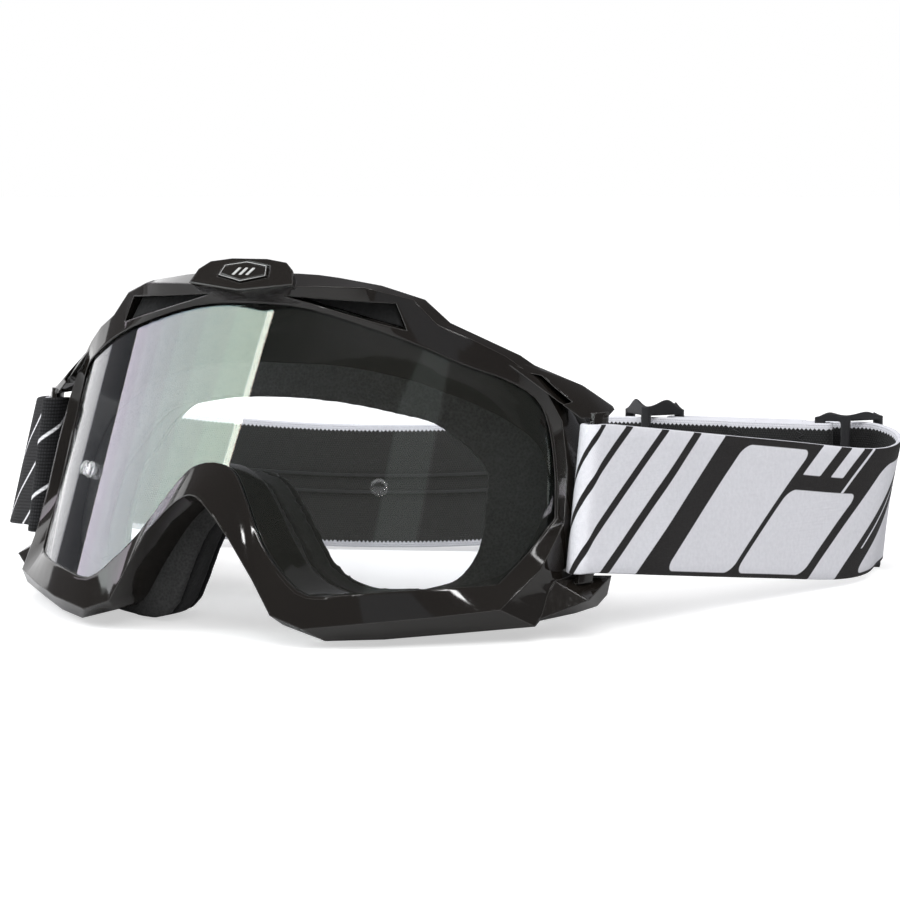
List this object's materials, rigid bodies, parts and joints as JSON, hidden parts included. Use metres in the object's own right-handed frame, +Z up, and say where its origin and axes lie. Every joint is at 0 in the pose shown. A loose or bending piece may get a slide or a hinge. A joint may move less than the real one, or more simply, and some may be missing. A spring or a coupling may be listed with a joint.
{
  "type": "motorcycle goggles",
  "caption": "Off-road goggles: faceted glossy frame with a clear bent lens, layered face foam and a wide elastic strap that adjusts with sliders at the back.",
  "frame": {"origin": "middle of the goggles' bounding box in plan, on the surface they stand on", "axes": "+X towards the wearer's left, -Y the way the wearer looks, +Z up"},
  "size_m": [0.2821, 0.2326, 0.1089],
  "materials": {
    "gloss_black_frame": "polished",
    "clear_lens_lens": "polished",
    "clear_lens_tearoff_post_left": "polished",
    "clear_lens_tearoff_post_right": "polished",
    "foam_grey_face_foam_base": "open-cell foam",
    "foam_grey_face_foam_mid": "open-cell foam",
    "fleece_black_face_fleece": "brushed fleece",
    "gloss_black_brow_badge": "polished",
    "foam_grey_brow_vent_foam_left": "open-cell foam",
    "foam_grey_brow_vent_foam_right": "open-cell foam",
    "foam_grey_side_vent_foam_left": "open-cell foam",
    "foam_grey_side_vent_foam_right": "open-cell foam",
    "webbing_strap_left": "woven elastic",
    "webbing_strap_right": "woven elastic",
    "silicone_silicone_line_upper": "satin",
    "silicone_silicone_line_lower": "satin",
    "webbing_strap_left_end_loop": "woven elastic",
    "webbing_strap_right_end_loop": "woven elastic",
    "slider_black_slider_1": "satin",
    "slider_black_slider_2": "satin"
  },
  "bodies": {
    "goggle": {"frame": "gloss_black_frame", "lens": "clear_lens_lens", "tearoff_post_left": "clear_lens_tearoff_post_left", "tearoff_post_right": "clear_lens_tearoff_post_right", "face_foam_base": "foam_grey_face_foam_base", "face_foam_mid": "foam_grey_face_foam_mid", "face_fleece": "fleece_black_face_fleece", "brow_badge": "gloss_black_brow_badge", "brow_vent_foam_left": "foam_grey_brow_vent_foam_left", "brow_vent_foam_right": "foam_grey_brow_vent_foam_right", "side_vent_foam_left": "foam_grey_side_vent_foam_left", "side_vent_foam_right": "foam_grey_side_vent_foam_right"},
    "strap": {"strap_left": "webbing_strap_left", "strap_right": "webbing_strap_right", "silicone_line_upper": "silicone_silicone_line_upper", "silicone_line_lower": "silicone_silicone_line_lower"},
    "adjuster_1": {"slider_1": "slider_black_slider_1", "strap_left_end_loop": "webbing_strap_left_end_loop"},
    "adjuster_2": {"slider_2": "slider_black_slider_2", "strap_right_end_loop": "webbing_strap_right_end_loop"}
  },
  "joints": [
    {"name": "strap_tilt", "type": "hinge", "parent": "goggle", "child": "strap", "pos_m": [0, -0.0496, 0.04], "axis": [1, 0, 0], "range_deg": [0, 3]},
    {"name": "slider_1_slide", "type": "slide", "parent": "strap", "child": "adjuster_1", "axis": [0.9902, 0.1393, 0], "range_m": [-0.015, 0.02]},
    {"name": "slider_2_slide", "type": "slide", "parent": "strap", "child": "adjuster_2", "axis": [0.9902, 0.1393, 0], "range_m": [-0.02, 0]}
  ]
}
